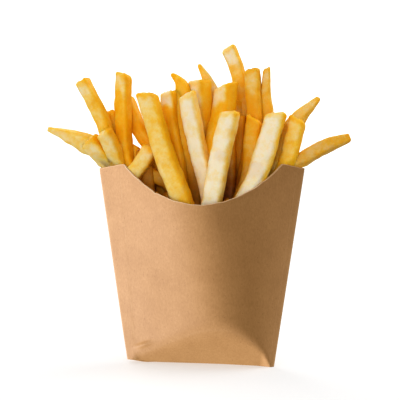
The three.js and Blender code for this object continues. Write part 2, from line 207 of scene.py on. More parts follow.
# Fries that only fill the mouth: place in the mouth and height of the tip.
BACK_FILLERS = [
    (-22, 10, 115), (-15, 12.5, 119), (-8, 15, 114), (-1, 15, 120), (6.5, 14.5, 117), (12, 5, 122),
    (-4, 9, 118), (29, 4.5, 120), (31, 4, 116), (-17.5, 5.5, 121), (14.6, 13.2, 130), (26, 7.5, 115),
]
LOW_FILLERS = [(-20, -9.5, 81), (-14, -6, 84), (13, -9, 77), (31, -3, 88), (-24, -1, 101)]
# How far the fillers are darkened, as painted shade, since they stand deep in the mouth: those behind a
# little, the low ones much.
BACK_FILLER_SHADE, LOW_FILLER_SHADE = 0.1, 0.6
BACK_SEED, LOW_SEED = 7, 8
MOUTH_LEVEL = 76.0
FILLER_SIDE = 7.2
FILLER_FAN = 0.15             # their tips stand this share further from the middle
FILLER_DRIFT = 2.0            # and wander this far sideways
FILLER_RISE = 4.0             # and this far up or down
FILLER_SIDE_SPREAD = 0.8
FILLER_ROLL = 40.0            # degrees
FILLER_SLANT = 0.3
FILLER_TONES = (0.05, 0.55)

FRY_GAP = 0.3                 # between a fry and the board
RIM_BEND = 0.6                # over this distance a fry bends where the board holds it
CREASE_GAP = 1.0              # between a fry and a side crease
CREASE_SPREAD = 3.0           # above the creases that limit moves out this much for each mm up
ROOT_HEIGHT = 66.0            # the fries end down here, inside the core
ROOT_PULL = 0.62              # how far they draw together on the way down
LINE_SAMPLES = 400            # points of a fry's middle line between two that are set
RING_STEP = 1.0               # distance of the rings of a fry
LEAST_RINGS = 8
AROUND = 56                   # points round a fry
DIRECTION_REACH = 0.5         # a fry's direction is taken over this far to either side
SLANT_REACH = 2.5             # a slanted cut begins this many sides from the tip
SQUARENESS = 3.8              # exponent of the section: 2 is round, high is square
CORNER_SHARPNESS = 3          # how narrow the corners are that relief and browning follow
END_ROUND = 1.5               # radius of the edge round a cut end
TIP_ROUND_SHARE = 0.6         # and of that radius at a tapered tip
END_RINGS = 6
CAP_RINGS = 6

# Relief of a fry. The swell is a share of its side, and the last one stands on the cut end.
SWELL = Ripple(0.03, 24)
DENTS = Ripple(0.12, 7)
CRUST = Ripple(0.05, 2.6)
CORNERS = Ripple(0.1, 4.5)
CAP = Ripple(0.25, 3)
CAP_REACH = 0.5
RELIEF_HALF = 3.0             # relief fades where half the section is less than this
PATTERN_SPREAD = 500.0        # each fry reads its patterns at a place of its own, up to this far off

# Tones of a fry.
FACE_BLEND = (0.5, 0.9)       # cosine from a face's middle between which its tone sets in
LEAST_WEIGHT = 1e-6           # keeps the sum of the faces' weights above nothing
PATCH_START = 6.0             # the paler tip ends between these distances from it
PATCH_END = 13.0
PATCH_WANDER = Ripple(3.0, 9)
CLOUDS = Ripple(0.08, 8)
CORNER_DEEPER = 0.05
END_DEEPER = (0.15, 0.5)      # the last millimetres are deeper in tone by an amount between these
END_WANDER = Ripple(0.8, 4)
END_FADE = 3.6
END_FULL = 1.6
CUT_REACH = 1.2               # the cut end browns within this distance
CUT_RIM = 0.4                 # and beyond this share of its width
CUT_BROWN = 0.14
CORNER_BROWN = Ripple(0.1, 6)
SPOT_BROWN = Ripple(0.1, 13)
SPOTS = (0.75, 1.3)           # heights of the pattern between which a brown spot sets in
HEAP_SHADE = 0.9                  # painted shade: fries low in the heap are this much darker
HEAP_SHADE_FROM = 9.0             # distances behind the front board between which that sets in
HEAP_SHADE_TO = 24.0
HEAP_SHADE_TOP = 104.0            # and heights
HEAP_SHADE_BOTTOM = 84.0

CORE_TOP = 75.0
CORE_DOME = 5.0
CORE_BUMPS = Ripple(1.2, 9)
CORE_GAP = 0.4                # between the core and the board
CORE_CREASE_GAP = 0.9
CORE_COLUMNS = (6, 60, 60)    # over an ear, the scoop and the back
CORE_ROWS = 30
CORE_DOME_ROWS = 16
CORE_POLE = 0.05              # innermost ring of the dome, as a share of its shoulder
CORE_FLOOR_SHARES = (0.1, 0.5, 0.8)
# The core is given a dark tone as painted shade: it stands low in the heap, where little light reaches.
CORE_PALE = 0.15
CORE_SHADE = 1.0
CORE_SEED = 11


# ------------ arithmetic on arrays

def lerp(a, b, t):
    """a at t = 0 and b at t = 1."""
    return a + (b - a) * t


def smoothstep(x, low, high):
    """0 at low, 1 at high, 3t^2 - 2t^3 between them, and level beyond. low may be the larger."""
    t = np.clip((x - low) / (high - low), 0.0, 1.0)
    return t * t * (3.0 - 2.0 * t)


def soft_max(a, b, radius):
    """The larger of a and b, with the corner between them rounded over the given radius."""
    h = np.clip(0.5 + 0.5 * (a - b) / radius, 0.0, 1.0)
    return lerp(b, a, h) + radius * h * (1.0 - h)


def bump(x, z, turn, length, width):
    """A long smooth bump, 1 in its middle: exp(-(u / length)^2 - (v / width)^2), with u along it."""
    u = x * math.cos(turn) + z * math.sin(turn)
    v = z * math.cos(turn) - x * math.sin(turn)
    return np.exp(-(u / length) ** 2 - (v / width) ** 2)


def ripples(points, wavelength, rng):
    """Uneven relief from about -1 to 1: a sum of plane sine waves in random directions.

    f(p) = sqrt(2 / n) * sum of sin(2 pi / L * p . d_i + phase_i) / RIPPLE_SPAN, with L spread from
    two thirds of the wavelength to one and a half times it.
    """
    directions = rng.normal(size=(3, RIPPLE_WAVES))
    directions /= np.linalg.norm(directions, axis=0)
    lengths = wavelength * rng.uniform(*RIPPLE_SPREAD, RIPPLE_WAVES)
    phases = rng.uniform(0, 2 * np.pi, RIPPLE_WAVES)
    total = np.sin(2 * np.pi * (points @ directions) / lengths + phases).sum(axis=-1)
    return total * math.sqrt(2 / RIPPLE_WAVES) / RIPPLE_SPAN


# ------------ meshes

def skin_faces(rings, around):
    """Corner indices of a closed skin: a pole, rings of equal length, and another pole.

    Gives the two fans of triangles and the quads between the rings. Vertex 0 is the first pole.
    """
    column = np.arange(around)
    beside = (column + 1) % around
    last_ring = 1 + (rings - 1) * around
    last_pole = np.full_like(column, last_ring + around)
    first_fan = np.stack([np.zeros_like(column), 1 + beside, 1 + column], axis=-1)
    last_fan = np.stack([last_ring + column, last_ring + beside, last_pole], axis=-1)
    start = 1 + around * np.arange(rings - 1)[:, None]
    above = start + around
    quads = np.stack([start + column, start + beside, above + beside, above + column], axis=-1)
    return [first_fan, last_fan, quads.reshape(-1, 4)]


class Skin:
    """Points, faces and named values of one or more closed skins, gathered into one piece."""

    def __init__(self):
        self.points, self.faces, self.values = [], [], {}
        self.count = 0

    def add(self, first_pole, rings, last_pole, **values):
        """rings has the shape (rings, around, 3), and each value one that spreads to its first two."""
        ring_count, around = rings.shape[:2]
        self.points.append(np.reshape(first_pole, (1, 3)))
        self.points.append(rings.reshape(-1, 3))
        self.points.append(np.reshape(last_pole, (1, 3)))
        self.faces += [faces + self.count for faces in skin_faces(ring_count, around)]
        self.count += ring_count * around + 2
        for name, value in values.items():
            value = np.broadcast_to(value, (ring_count, around))
            whole = np.concatenate([[value[0].mean()], value.ravel(), [value[-1].mean()]])
            self.values.setdefault(name, []).append(whole)

    def piece(self, name, material, node, slot):
        """Makes the Blender object, which rides on the one body and stands for a node."""
        mesh = bpy.data.meshes.new(name)
        points = np.concatenate(self.points) * MM
        corners = np.concatenate([faces.ravel() for faces in self.faces])
        sizes = np.concatenate([np.full(len(faces), faces.shape[1]) for faces in self.faces])
        starts = np.concatenate([[0], np.cumsum(sizes)[:-1]])
        mesh.vertices.add(len(points))
        mesh.vertices.foreach_set("co", points.astype(np.float32).ravel())
        mesh.loops.add(len(corners))
        mesh.loops.foreach_set("vertex_index", corners.astype(np.int32))
        mesh.polygons.add(len(sizes))
        mesh.polygons.foreach_set("loop_start", starts.astype(np.int32))
        mesh.polygons.foreach_set("use_smooth", np.ones(len(sizes), dtype=bool))
        for value_name, parts in self.values.items():
            attribute = mesh.attributes.new(value_name, "FLOAT", "POINT")
            attribute.data.foreach_set("value", np.concatenate(parts).astype(np.float32))
        mesh.update(calc_edges=True)
        mesh.validate()
        mesh.materials.append(material)
        piece = bpy.data.objects.new(name, mesh)
        bpy.context.scene.collection.objects.link(piece)
        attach(piece, "root")
        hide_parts(node)
        return piece


# ------------ the form of the boards

SCOOP_LEFT = -1 + LEFT_EAR / MOUTH_HALF_WIDTH
SCOOP_RIGHT = 1 - RIGHT_EAR / MOUTH_HALF_WIDTH


def board_columns(ear, scoop, back):
    """s of each column and whether it is on the front board: over the front, then back behind.

    Each run mixes even steps with (1 - cos(pi t)) / 2, so that columns stand closer at the creases
    and at the corners of the ears.
    """
    def run(start, end, steps):
        """The columns from start to just before end."""
        t = np.arange(steps) / steps
        return lerp(start, end, lerp(t, (1 - np.cos(np.pi * t)) / 2, CROWDING))

    front = [run(-1, SCOOP_LEFT, ear), run(SCOOP_LEFT, SCOOP_RIGHT, scoop), run(SCOOP_RIGHT, 1, ear)]
    s = np.concatenate([*front, run(1, -1, back)])
    return s, np.arange(len(s)) < 2 * ear + scoop


def bowed(board, s, z, crease, wall):
    """x and y of a bowed board: x = s * half width, y = chord + side * bow * tent(s).

    tent(s) = (|1, soft| - |r, soft|) / (|1, soft| - soft), where |a, b| = sqrt(a^2 + b^2) and r is
    the distance from the ridge, stretched so that it is 1 at both creases.
    """
    low = 1 - z / EAR_HEIGHT
    x = s * (lerp(MOUTH_HALF_WIDTH, BASE_HALF_WIDTH, low) - crease)
    ridge = lerp(board.ridge_top, board.ridge_base, low)
    soft = lerp(board.soft_top, board.soft_base, low)
    from_ridge = (s - ridge) / (1 - ridge * s)
    tent = (np.hypot(1, soft) - np.hypot(from_ridge, soft)) / (np.hypot(1, soft) - soft)
    bow = (lerp(board.bow_top, board.bow_base, low) - wall) * tent
    return x, -low * (EDGE_FORWARD + EDGE_TWIST * x) + board.side * bow


def board_points(s, is_front, z, crease=0.0, wall=0.0):
    """Points of both boards, and how near each is to the arched crease.

    Below that crease the front board is folded in to the plane y = -forward - twist x - lean z. So
    its y is the larger of the plane's and the bowed board's, with the corner rounded.
    """
    front_x, front_y = bowed(FRONT, s, z, crease, wall)
    back_x, back_y = bowed(BACK, s, z, crease, wall)
    facet_y = -EDGE_FORWARD - EDGE_TWIST * front_x - FACET_LEAN * z + wall
    facet_y = facet_y - FOLD_CORNER * smoothstep(np.abs(s), FOLD_END, 1)
    rounding = FOLD_ROUND * np.sqrt(np.clip(1 - s * s, FOLD_LEAST, 1))
    folded_y = soft_max(front_y, facet_y, rounding)
    x = np.where(is_front, front_x, back_x)
    y = np.where(is_front, folded_y, back_y)
    lift = np.where(is_front, (1 - s) / 2, smoothstep(-s, LIFT_START, 1))
    points = np.stack([x, y, z + CORNER_LIFT * lift * np.clip(1 - z / LIFT_FADE, 0, 1)], axis=-1)
    wear = FOLD_WEAR * np.exp(-((front_y - facet_y) / FOLD_WEAR_WIDTH) ** 2)
    return points, np.where(is_front, wear, 0.0)


def rim_height(s, is_front):
    """Height of the rim: a slope over each ear, a circular arc for the scoop, a low arch behind.

    The arc's radius is (half chord^2 + depth^2) / (2 depth), and the arch is 1 - s^2 times its height.
    """
    half_chord = MOUTH_HALF_WIDTH * (SCOOP_RIGHT - SCOOP_LEFT) / 2
    radius = (half_chord ** 2 + SCOOP_DEPTH ** 2) / (2 * SCOOP_DEPTH)
    from_middle = MOUTH_HALF_WIDTH * (s - (SCOOP_LEFT + SCOOP_RIGHT) / 2)
    across = np.clip(from_middle, -half_chord, half_chord)
    scoop = EAR_RISE - SCOOP_DEPTH + radius - np.sqrt(radius ** 2 - across ** 2)
    left_ear = EAR_RISE * (s + 1) / (SCOOP_LEFT + 1)
    right_ear = EAR_RISE * (1 - s) / (1 - SCOOP_RIGHT)
    front = np.select([s <= SCOOP_LEFT, s >= SCOOP_RIGHT], [left_ear, right_ear], scoop)
    return EAR_HEIGHT + np.where(is_front, front, BACK_ARCH * (1 - s * s))


def drawn_in(ring, shares):
    """x and y of a ring drawn in towards the middle of the base, to shares of its size."""
    x = shares * ring[:, 0]
    y = BASE_CENTRE_Y + shares * (ring[:, 1] - BASE_CENTRE_Y)
    return x, y


def carton_wall(s, is_front, rim, wave_seed, crease=0.0, inset=0.0):
    """One side of the boards, from the base to the rim, and how far each point is rubbed paler.

    Rows stand evenly up to FOLD_ZONE and again up to just below the rim. The bowed boards then get a
    long wave, the glued flap's step, and the ridge of the pressed corner, all added to y.
    """
    low_rows = np.linspace(inset, FOLD_ZONE, FOLD_ROWS)[:, None] + 0 * rim
    high_rows = lerp(FOLD_ZONE, rim - EDGE_ROW, np.linspace(0, 1, WALL_ROWS)[1:, None])
    z = np.concatenate([low_rows, high_rows, rim[None] - EDGE_ROW / 2, rim[None]])
    points, near_fold = board_points(s, is_front, z, crease, inset)

    shift = np.where(is_front, 0.0, WAVE_SHIFT)
    place = np.stack([s * MOUTH_HALF_WIDTH + 0 * z, shift + 0 * z, z], axis=-1)
    wave = ripples(place, WAVE.wave, np.random.default_rng(wave_seed))
    points[..., 1] += WAVE.height * wave * (1 - s * s) * smoothstep(z, WAVE_START, WAVE_FULL)
    flap = lerp(FLAP_BASE, FLAP_TOP, np.clip(z / EAR_HEIGHT, 0, 1) ** FLAP_CURVE)
    step = FLAP_STEP * smoothstep(s - flap, -LINE_WIDTH, LINE_WIDTH)
    points[..., 1] += np.where(is_front, step, 0)
    from_x = points[..., 0] - BUCKLE_PLACE[0]
    from_z = z - BUCKLE_PLACE[1]
    ridge = bump(from_x, from_z, BUCKLE_TURN, BUCKLE_LENGTH, BUCKLE_WIDTH)
    points[..., 1] -= np.where(is_front, BUCKLE_HEIGHT * ridge, 0)

    near_crease = np.exp(-(1 - np.abs(s)) * MOUTH_HALF_WIDTH / CREASE_WEAR_WIDTH) + 0 * z
    lines = FLAP_WEAR * np.exp(-((s - flap) / LINE_WIDTH) ** 2)
    lines = lines + SEAM_WEAR * np.exp(-((s - SEAM_PLACE) / SEAM_WIDTH) ** 2)
    return points, np.clip(near_fold + near_crease + np.where(is_front, lines, 0), 0, 1)


def base_rings(ring, height):
    """Rings of the base inside the given one: flat in the middle, and rising to it at the edge."""
    shares = np.array(BASE_SHARES)[:, None]
    x, y = drawn_in(ring, shares)
    z = height + (ring[:, 2] - height) * smoothstep(shares, BASE_FLAT, 1)
    return np.stack([x, y, z], axis=-1)


def carton_skin():
    """The carton: an outer skin from the middle of the base to the rim, and an inner one back down.

    Between them lies the board's cut edge, a straight line from one rim to the other, crowned a
    little. Its paler tone fades out down to the row half of EDGE_ROW below the rim.
    """
    rng = np.random.default_rng(CARTON_SEED)
    s, is_front = board_columns(EAR_COLUMNS, SCOOP_COLUMNS, BACK_COLUMNS)
    rim = rim_height(s, is_front)
    edge_place = np.stack([s * MOUTH_HALF_WIDTH, np.where(is_front, 0.0, RIM_SHIFT), rim], axis=-1)
    rim = rim + RIM_RIPPLE.height * ripples(edge_place, RIM_RIPPLE.wave, rng)
    rim = rim - np.where(is_front, NICK_DEPTH * np.exp(-((s - NICK_PLACE) / NICK_WIDTH) ** 2), 0.0)
    wave_seed = rng.integers(1 << 30)

    outside, outside_fold = carton_wall(s, is_front, rim, wave_seed)
    inside, inside_fold = carton_wall(s, is_front, rim, wave_seed, CREASE_INSET, BOARD)
    edge = lerp(outside[-1], inside[-1], np.array(EDGE_SHARES)[:, None, None])
    edge[..., 2] += RIM_CROWN
    below = base_rings(outside[0], 0.0)
    above = base_rings(inside[0], BOARD)[::-1]
    rings = np.concatenate([below, outside, edge, inside[::-1], above])

    plain = np.zeros(below.shape[:2])
    plain_edge = np.zeros(edge.shape[:2])
    fold = np.concatenate([plain, outside_fold, plain_edge, inside_fold[::-1], plain])
    cut_edge = np.zeros((len(rings), 1))
    outer_rim = len(below) + len(outside) - 1
    inner_rim = outer_rim + len(edge) + 1
    cut_edge[outer_rim:inner_rim + 1] = 1
    skin = Skin()
    skin.add((0, BASE_CENTRE_Y, 0), rings, (0, BASE_CENTRE_Y, BOARD), fold=fold, cut_edge=cut_edge)
    return skin


# ------------ the form of the fries

def centre_line(fry):
    """Points and arc lengths of the fry's middle line, a centripetal Catmull-Rom curve.

    Between two of its points it is the cubic through both whose slopes there follow from the square
    roots of the distances between neighbouring points.
    """
    below = (fry.foot[0] * ROOT_PULL, fry.foot[1] * ROOT_PULL, ROOT_HEIGHT)
    knots = np.array([below, fry.foot, fry.via, fry.tip], dtype=float)
    knots = np.concatenate([[2 * knots[0] - knots[1]], knots, [2 * knots[-1] - knots[-2]]])
    gaps = np.sqrt(np.linalg.norm(np.diff(knots, axis=0), axis=1))
    t = np.linspace(0, 1, LINE_SAMPLES, endpoint=False)[:, None]
    stretches = []
    for k in range(len(knots) - 3):
        p0, p1, p2, p3 = knots[k:k + 4]
        d0, d1, d2 = gaps[k:k + 3]
        slope_1 = ((p1 - p0) / d0 - (p2 - p0) / (d0 + d1) + (p2 - p1) / d1) * d1
        slope_2 = ((p2 - p1) / d1 - (p3 - p1) / (d1 + d2) + (p3 - p2) / d2) * d1
        cubic = 2 * p1 - 2 * p2 + slope_1 + slope_2
        square = -3 * p1 + 3 * p2 - 2 * slope_1 - slope_2
        stretches.append(p1 + slope_1 * t + square * t ** 2 + cubic * t ** 3)
    line = np.concatenate([*stretches, knots[-2:-1]])
    arc = np.concatenate([[0], np.cumsum(np.linalg.norm(np.diff(line, axis=0), axis=1))])
    return line, arc


def along(line, arc, places):
    """Points of the middle line at the given arc lengths, straight between its own points."""
    return np.stack([np.interp(places, arc, line[:, axis]) for axis in range(3)], axis=-1)


def fry_rings(fry, length):
    """Where the rings of a fry stand along it, and how wide each is, as a share of the section.

    They stand evenly up to the edge of the end, follow a quarter circle round that edge, and then
    draw together over the cut. A tapered tip narrows evenly to its point.
    """
    edge = END_ROUND if fry.taper == 0 else END_ROUND * TIP_ROUND_SHARE
    body = np.linspace(0, length - edge, max(int((length - edge) / RING_STEP), LEAST_RINGS))
    quarter = np.linspace(0, np.pi / 2, END_RINGS + 1)[1:]
    round_edge = length - edge + edge * np.sin(quarter)
    places = np.concatenate([body, round_edge, np.full(CAP_RINGS, length)])
    scale = np.ones_like(places)
    if fry.taper:
        scale = lerp(1, fry.point, np.clip((places - length + fry.taper) / fry.taper, 0, 1))
    rounding = np.concatenate([0 * body, edge * (1 - np.cos(quarter)), np.full(CAP_RINGS, edge)])
    shrink = 1 - rounding / (fry.side / 2 * scale)
    shrink[-CAP_RINGS:] *= np.linspace(1, 0, CAP_RINGS + 2)[1:-1]
    return places, scale * shrink


def fry_directions(line, arc, places):
    """Unit vectors at each ring: along the fry, across it and to its back.

    The first is the step between two near points of the line, and the others are cross products.
    """
    length = arc[-1]
    ahead = along(line, arc, np.minimum(places + DIRECTION_REACH, length))
    before = along(line, arc, np.maximum(np.minimum(places, length) - DIRECTION_REACH, 0))
    direction = ahead - before
    direction /= np.linalg.norm(direction, axis=1)[:, None]
    across = np.cross(direction, (0, -1, 0))
    across /= np.linalg.norm(across, axis=1)[:, None]
    return direction, across, np.cross(direction, across)


def fry_tones(fry, own, angle, corner, places, scale, rng):
    """How pale a fry is at each point, and how far it is darkened towards the colour of a crisp crust.

    Each face has its own tone, weighted by how near the point's angle is to the face's middle, and
    the front face has a second one near the tip. These tones are partly the fry's own and partly
    painted light and shade: faces turned from the light are set deeper gold. Clouds are added, and
    corners and the last millimetres are deeper. Corners, spots and the cut end darken a little towards
    that crust colour, and the whole fry by its own given amount, which on fries deep in the heap is
    painted shade.
    """
    length = places[-1]
    faces_at = (-np.pi / 2, 0, np.pi, np.pi / 2)
    nearness = [smoothstep(np.cos(angle - middle), *FACE_BLEND) for middle in faces_at]
    total = sum(nearness) + LEAST_WEIGHT
    # The face tones are partly the fry's own and partly painted light and shade.
    front_tip, front_low, pale_right, pale_left, pale_back = fry.pale
    to_tip = length - places[:, None]
    from_tip = to_tip + PATCH_WANDER.height * ripples(own, PATCH_WANDER.wave, rng)
    front = lerp(front_tip, front_low, smoothstep(from_tip, PATCH_START, PATCH_END))
    faces = [front, pale_right, pale_left, pale_back]
    pale = sum(weight * tone for weight, tone in zip(nearness, faces)) / total
    pale = pale + CLOUDS.height * ripples(own, CLOUDS.wave, rng) - CORNER_DEEPER * corner
    end_deeper = rng.uniform(*END_DEEPER)
    from_end = to_tip + END_WANDER.height * ripples(own, END_WANDER.wave, rng)
    pale = pale - end_deeper * smoothstep(from_end, END_FADE, END_FULL)

    width_left = scale[:, None] / scale[-CAP_RINGS - 1]
    cut_end = smoothstep(places, length - CUT_REACH, length)[:, None] * smoothstep(width_left, CUT_RIM, 1)
    on_corners = smoothstep(ripples(own, CORNER_BROWN.wave, rng), 0, 1)
    browned = CORNER_BROWN.height * corner * on_corners + CUT_BROWN * cut_end
    spots = smoothstep(ripples(own, SPOT_BROWN.wave, rng), *SPOTS)
    return pale, browned + SPOT_BROWN.height * spots + fry.brown


def add_fry(skin, fry, rng):
    """A fry: a rounded square section carried along its middle line, with uneven sides and cut ends.

    Section: r(a) = (|cos a|^n + |sin a|^n)^(-1/n), times half the side. A slanted end leans along the
    fry by slant * distance to the right. Relief is a sum of ripples that moves each point away from
    the middle line, fading with the section, and along the fry on its cut end.
    """
    line, arc = centre_line(fry)
    length = arc[-1]
    half = fry.side / 2
    places, scale = fry_rings(fry, length)
    middle = along(line, arc, places)
    direction, across, back = fry_directions(line, arc, places)

    angle = 2 * np.pi * np.arange(AROUND) / AROUND
    cos, sin = np.cos(angle), np.sin(angle)
    radius = (np.abs(cos) ** SQUARENESS + np.abs(sin) ** SQUARENESS) ** (-1 / SQUARENESS)
    turn = -math.radians(fry.roll)
    turned_cos = cos * math.cos(turn) - sin * math.sin(turn)
    turned_sin = cos * math.sin(turn) + sin * math.cos(turn)
    outward = across[:, None] * turned_cos[:, None] + back[:, None] * turned_sin[:, None]
    reach = half * scale[:, None] * radius
    to_right = reach * turned_cos
    near_tip = smoothstep(places, length - SLANT_REACH * fry.side, length)[:, None]
    lean = fry.slant * to_right * near_tip
    rings = middle[:, None] + outward * reach[..., None] + direction[:, None] * lean[..., None]

    own = rings + rng.uniform(-PATTERN_SPREAD, PATTERN_SPREAD, 3)
    corner = np.abs(np.sin(2 * angle)) ** CORNER_SHARPNESS
    relief = SWELL.height * fry.side * ripples(own, SWELL.wave, rng)
    relief = relief + DENTS.height * ripples(own, DENTS.wave, rng)
    relief = relief + CRUST.height * ripples(own, CRUST.wave, rng)
    relief = relief + CORNERS.height * corner * ripples(own, CORNERS.wave, rng)
    fade = np.clip(scale[:, None] * half / RELIEF_HALF, 0, 1)
    rings = rings + outward * (relief * fade)[..., None]
    at_cap = smoothstep(places, length - CAP_REACH, length)[:, None]
    cap_relief = CAP.height * ripples(own, CAP.wave, rng) * at_cap
    rings = held_inside(rings + direction[:, None] * cap_relief[..., None])

    pale, browned = fry_tones(fry, own, angle, corner, places, scale, rng)
    # painted shade: fries deep in the heap are darkened
    browned = browned + painted_heap_shade(rings)
    skin.add(line[0], rings, middle[-1], pale=np.clip(pale, 0, 1), browned=np.clip(browned, 0, 1))


def held_inside(points):
    """Moves what would stand outside the boards in to their inner faces.

    At the rim a fry may stand as far forward as the board's inner face, and above it further by the
    height over the rim. The limits are rounded so that the fry bends over the rim.
    """
    x, y, z = np.moveaxis(points, -1, 0)
    low = 1 - np.minimum(z, EAR_HEIGHT) / EAR_HEIGHT
    half = lerp(MOUTH_HALF_WIDTH, BASE_HALF_WIDTH, low) - CREASE_INSET
    s = np.clip(x / half, -1, 1)
    flat = np.minimum(z, EAR_HEIGHT + EAR_RISE)
    _, front = bowed(FRONT, s, flat, CREASE_INSET, BOARD)
    _, back = bowed(BACK, s, flat, CREASE_INSET, BOARD)
    over_front = np.maximum(z - rim_height(s, np.full(s.shape, True)), 0)
    over_back = np.maximum(z - rim_height(s, np.full(s.shape, False)), 0)
    over_crease = np.maximum(z - EAR_HEIGHT, 0)
    side = half - CREASE_GAP + CREASE_SPREAD * over_crease
    x = np.clip(x, -side, side)
    y = soft_max(y, front + FRY_GAP - over_front, RIM_BEND)
    y = -soft_max(-y, -(back - FRY_GAP + over_back), RIM_BEND)
    return np.stack([x, y, z], axis=-1)


def painted_heap_shade(points):
    """Painted shade on fries low in the heap, from 0 up to the amount set above.

    Those well behind the front board and near its rim stand in deeper shade, so they are painted
    darker: it is the product of one smoothstep of the distance behind that board and one of the height.
    """
    x, y, z = np.moveaxis(points, -1, 0)
    _, front = bowed(FRONT, np.clip(x / MOUTH_HALF_WIDTH, -1, 1), EAR_HEIGHT, 0, 0)
    deep = HEAP_SHADE * smoothstep(y - front, HEAP_SHADE_FROM, HEAP_SHADE_TO)
    return deep * smoothstep(-z, -HEAP_SHADE_TOP, -HEAP_SHADE_BOTTOM)


def filler_fries(places, brown, rng):
    """Short fries that fill the mouth. Each tip stands 1 + fan times as far out as the foot, and its
    place, side, roll and slant each change by a random share of their own spread."""
    made = []
    for x, y, height in places:
        change = rng.uniform(-1, 1, 6)
        tip_x = x * (1 + FILLER_FAN) + FILLER_DRIFT * change[0]
        tip = (tip_x, y + change[1], height + FILLER_RISE * change[2])
        via = (x * (1 + FILLER_FAN / 2), y, (height + MOUTH_LEVEL) / 2)
        foot = (x, y, MOUTH_LEVEL)
        side = FILLER_SIDE + FILLER_SIDE_SPREAD * change[3]
        # painted shade: a darker filler is also set less pale
        tones = tuple(rng.uniform(*FILLER_TONES, 5) * (1 - brown))
        roll = FILLER_ROLL * change[4]
        slant = FILLER_SLANT * change[5]
        made.append(Fry(tip, via, foot, side, roll, 0, slant, tones, brown))
    return made


def fries_skin(fries, seed):
    """A group of fries in one skin, each with its own random draws."""
    skin = Skin()
    for number, fry in enumerate(fries):
        add_fry(skin, fry, np.random.default_rng(SEED_STEP * seed + number))
    return skin


def core_skin():
    """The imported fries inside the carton: along the boards up to a shoulder, then a bumpy dome.

    The dome is top - dome * share^2, with ripples that fade out to the shoulder as 1 - share^4.
    """
    rng = np.random.default_rng(CORE_SEED)
    gap = BOARD + CORE_GAP
    s, is_front = board_columns(*CORE_COLUMNS)
    z = np.linspace(gap, CORE_TOP - CORE_DOME, CORE_ROWS)[:, None] + 0 * s
    wall, _ = board_points(s, is_front, z, CREASE_INSET + CORE_CREASE_GAP, gap)
    shares = np.linspace(1, CORE_POLE, CORE_DOME_ROWS)[1:, None]
    x, y = drawn_in(wall[-1], shares)
    top = np.stack([x, y, CORE_TOP - CORE_DOME * shares ** 2 + 0 * x], axis=-1)
    top[..., 2] += CORE_BUMPS.height * ripples(top, CORE_BUMPS.wave, rng) * (1 - shares ** 4)
    x, y = drawn_in(wall[0], np.array(CORE_FLOOR_SHARES)[:, None])
    floor = np.stack([x, y, gap + 0 * x], axis=-1)
    rings = np.concatenate([floor, wall, top])
    below = (0, BASE_CENTRE_Y, gap)
    above = (0, BASE_CENTRE_Y, CORE_TOP)
    skin = Skin()
    # painted shade: the core takes the darkest tone
    skin.add(below, rings, above, pale=CORE_PALE, browned=CORE_SHADE)
    return skin


# ------------ materials

def linear(hex_code):
    """sRGB hex to the linear colour that a shader takes: ((c + 0.055) / 1.055) ^ 2.4, or c / 12.92."""
    channels = [int(hex_code[i:i + 2], 16) / 255 for i in (1, 3, 5)]
    return (*[c / 12.92 if c <= 0.04045 else ((c + 0.055) / 1.055) ** 2.4 for c in channels], 1.0)


def per_mm(millimetres):
    """Scale of a pattern whose blotches are about so many millimetres across: 1 / size in metres."""
    return 1 / (millimetres * MM)


def add_node(tree, kind, inputs=None, stops=None, **options):
    """Adds a node with its options and its inputs, by name or number: each a socket or a value.

    stops are the (place, hex) pairs of a colour ramp.
    """
    node = tree.nodes.new(kind)
    for name, value in options.items():
        setattr(node, name, value)
    for key, value in (inputs or {}).items():
        if isinstance(value, bpy.types.NodeSocket):
            tree.links.new(value, node.inputs[key])
        else:
            node.inputs[key].default_value = value
    if stops:
        elements = node.color_ramp.elements
        while len(elements) < len(stops):
            elements.new(0.5)
        for element, (place, hex_code) in zip(elements, stops):
            element.position = place
            element.color = linear(hex_code)
    return node


def new_material(name):
    """An empty node material and its tree."""
    material = bpy.data.materials.new(name)
    material.use_nodes = True
    material.node_tree.nodes.clear()
    return material, material.node_tree


# A noise of three octaves serves most patterns. Its value runs from 0 to 1, mostly 0.3 to 0.7.
OCTAVES = {"Detail": 3.0, "Roughness": 0.55}
NOISE_RANGE = {"From Min": 0.3, "From Max": 0.7}


